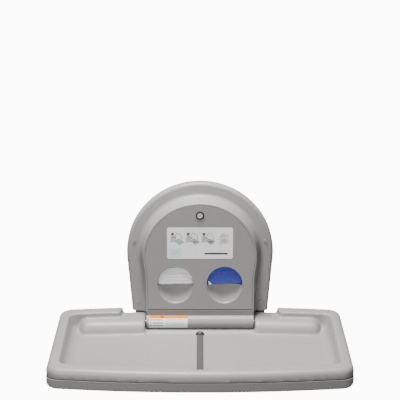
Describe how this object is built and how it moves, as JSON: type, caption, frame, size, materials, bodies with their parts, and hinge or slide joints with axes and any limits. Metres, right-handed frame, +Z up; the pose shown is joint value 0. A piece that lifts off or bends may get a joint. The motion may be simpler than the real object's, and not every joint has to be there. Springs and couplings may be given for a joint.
{
  "type": "changing table",
  "caption": "Wall-mounted fold-down baby changing station: moulded tray with strap and steel underside, arched wall unit with locking liner dispenser.",
  "frame": {"origin": "centre of the wall plate's bolt pattern, on the wall's face", "axes": "+X to the right, -Y out of the wall towards the user, +Z up"},
  "size_m": [0.886, 0.52, 0.476],
  "materials": {
    "grey_plastic": "moulded, fine texture",
    "inner_plastic": "moulded",
    "black_plastic": "moulded",
    "brushed_steel": "brushed along the width",
    "zinc_steel": "zinc plated",
    "black_metal": "painted",
    "chrome": "polished",
    "lock_ring": "satin black",
    "label": "printed film",
    "paper": "folded tissue paper",
    "wrapper": "printed film wrapper",
    "webbing": "woven nylon",
    "rubber": "moulded"
  },
  "bodies": {
    "wall_unit": {"caution_label": "label", "gas_spring_clamps": "black_plastic", "gas_spring_cylinder": "black_metal", "hinge_bracket_left": "zinc_steel", "hinge_bracket_right": "zinc_steel", "hinge_bush_left": "black_plastic", "hinge_bush_right": "black_plastic", "hinge_cover": "grey_plastic", "housing_screws": "grey_plastic", "housing_shell": "grey_plastic", "liner_bay_left": "inner_plastic", "liner_bay_right": "inner_plastic", "stop_bumpers": "rubber", "wall_plate": "zinc_steel"},
    "bed": {"bed_tray": "grey_plastic", "bed_base": "grey_plastic", "steel_panel": "brushed_steel", "hinge_arm_left": "zinc_steel", "hinge_arm_right": "zinc_steel", "arm_screws": "zinc_steel", "strap": "webbing", "strap_guide": "black_plastic", "strap_anchor": "grey_plastic", "hinge_rod": "zinc_steel", "rod_clips": "zinc_steel", "crank_arm": "zinc_steel", "crank_pin": "zinc_steel"},
    "door": {"dispenser_door": "grey_plastic", "lock_bezel": "lock_ring", "instruction_label": "label", "door_pins": "zinc_steel"},
    "lock": {"lock_plug": "chrome", "lock_cam": "zinc_steel"},
    "left_liners": {"liner_stack": "paper"},
    "right_liners": {"liner_pack": "wrapper"},
    "spring_rod": {"gas_spring_rod": "chrome"}
  },
  "joints": [
    {"name": "bed_fold", "type": "hinge", "parent": "wall_unit", "child": "bed", "pos_m": [0, -0.064, -0.169], "axis": [1, 0, 0], "range_deg": [-90, 0]},
    {"name": "door_swing", "type": "hinge", "parent": "wall_unit", "child": "door", "pos_m": [0, -0.0718, -0.119], "axis": [1, 0, 0], "range_deg": [0, 75]},
    {"name": "lock_turn", "type": "hinge", "parent": "door", "child": "lock", "pos_m": [0, -0.074, 0.182], "axis": [0, -1, 0], "range_deg": [0, 90]},
    {"name": "left_liners_lift", "type": "slide", "parent": "wall_unit", "child": "left_liners", "axis": [0, 0, 1], "range_m": [0, 0.06]},
    {"name": "right_liners_lift", "type": "slide", "parent": "wall_unit", "child": "right_liners", "axis": [0, 0, 1], "range_m": [0, 0.06]},
    {"name": "spring_stroke", "type": "slide", "parent": "wall_unit", "child": "spring_rod", "axis": [0, 0, 1], "range_m": [-0.03677, 0]}
  ],
  "couplings": [
    {"joint": "spring_stroke", "follows": "bed_fold", "m_per_rad": 0.023408}
  ]
}
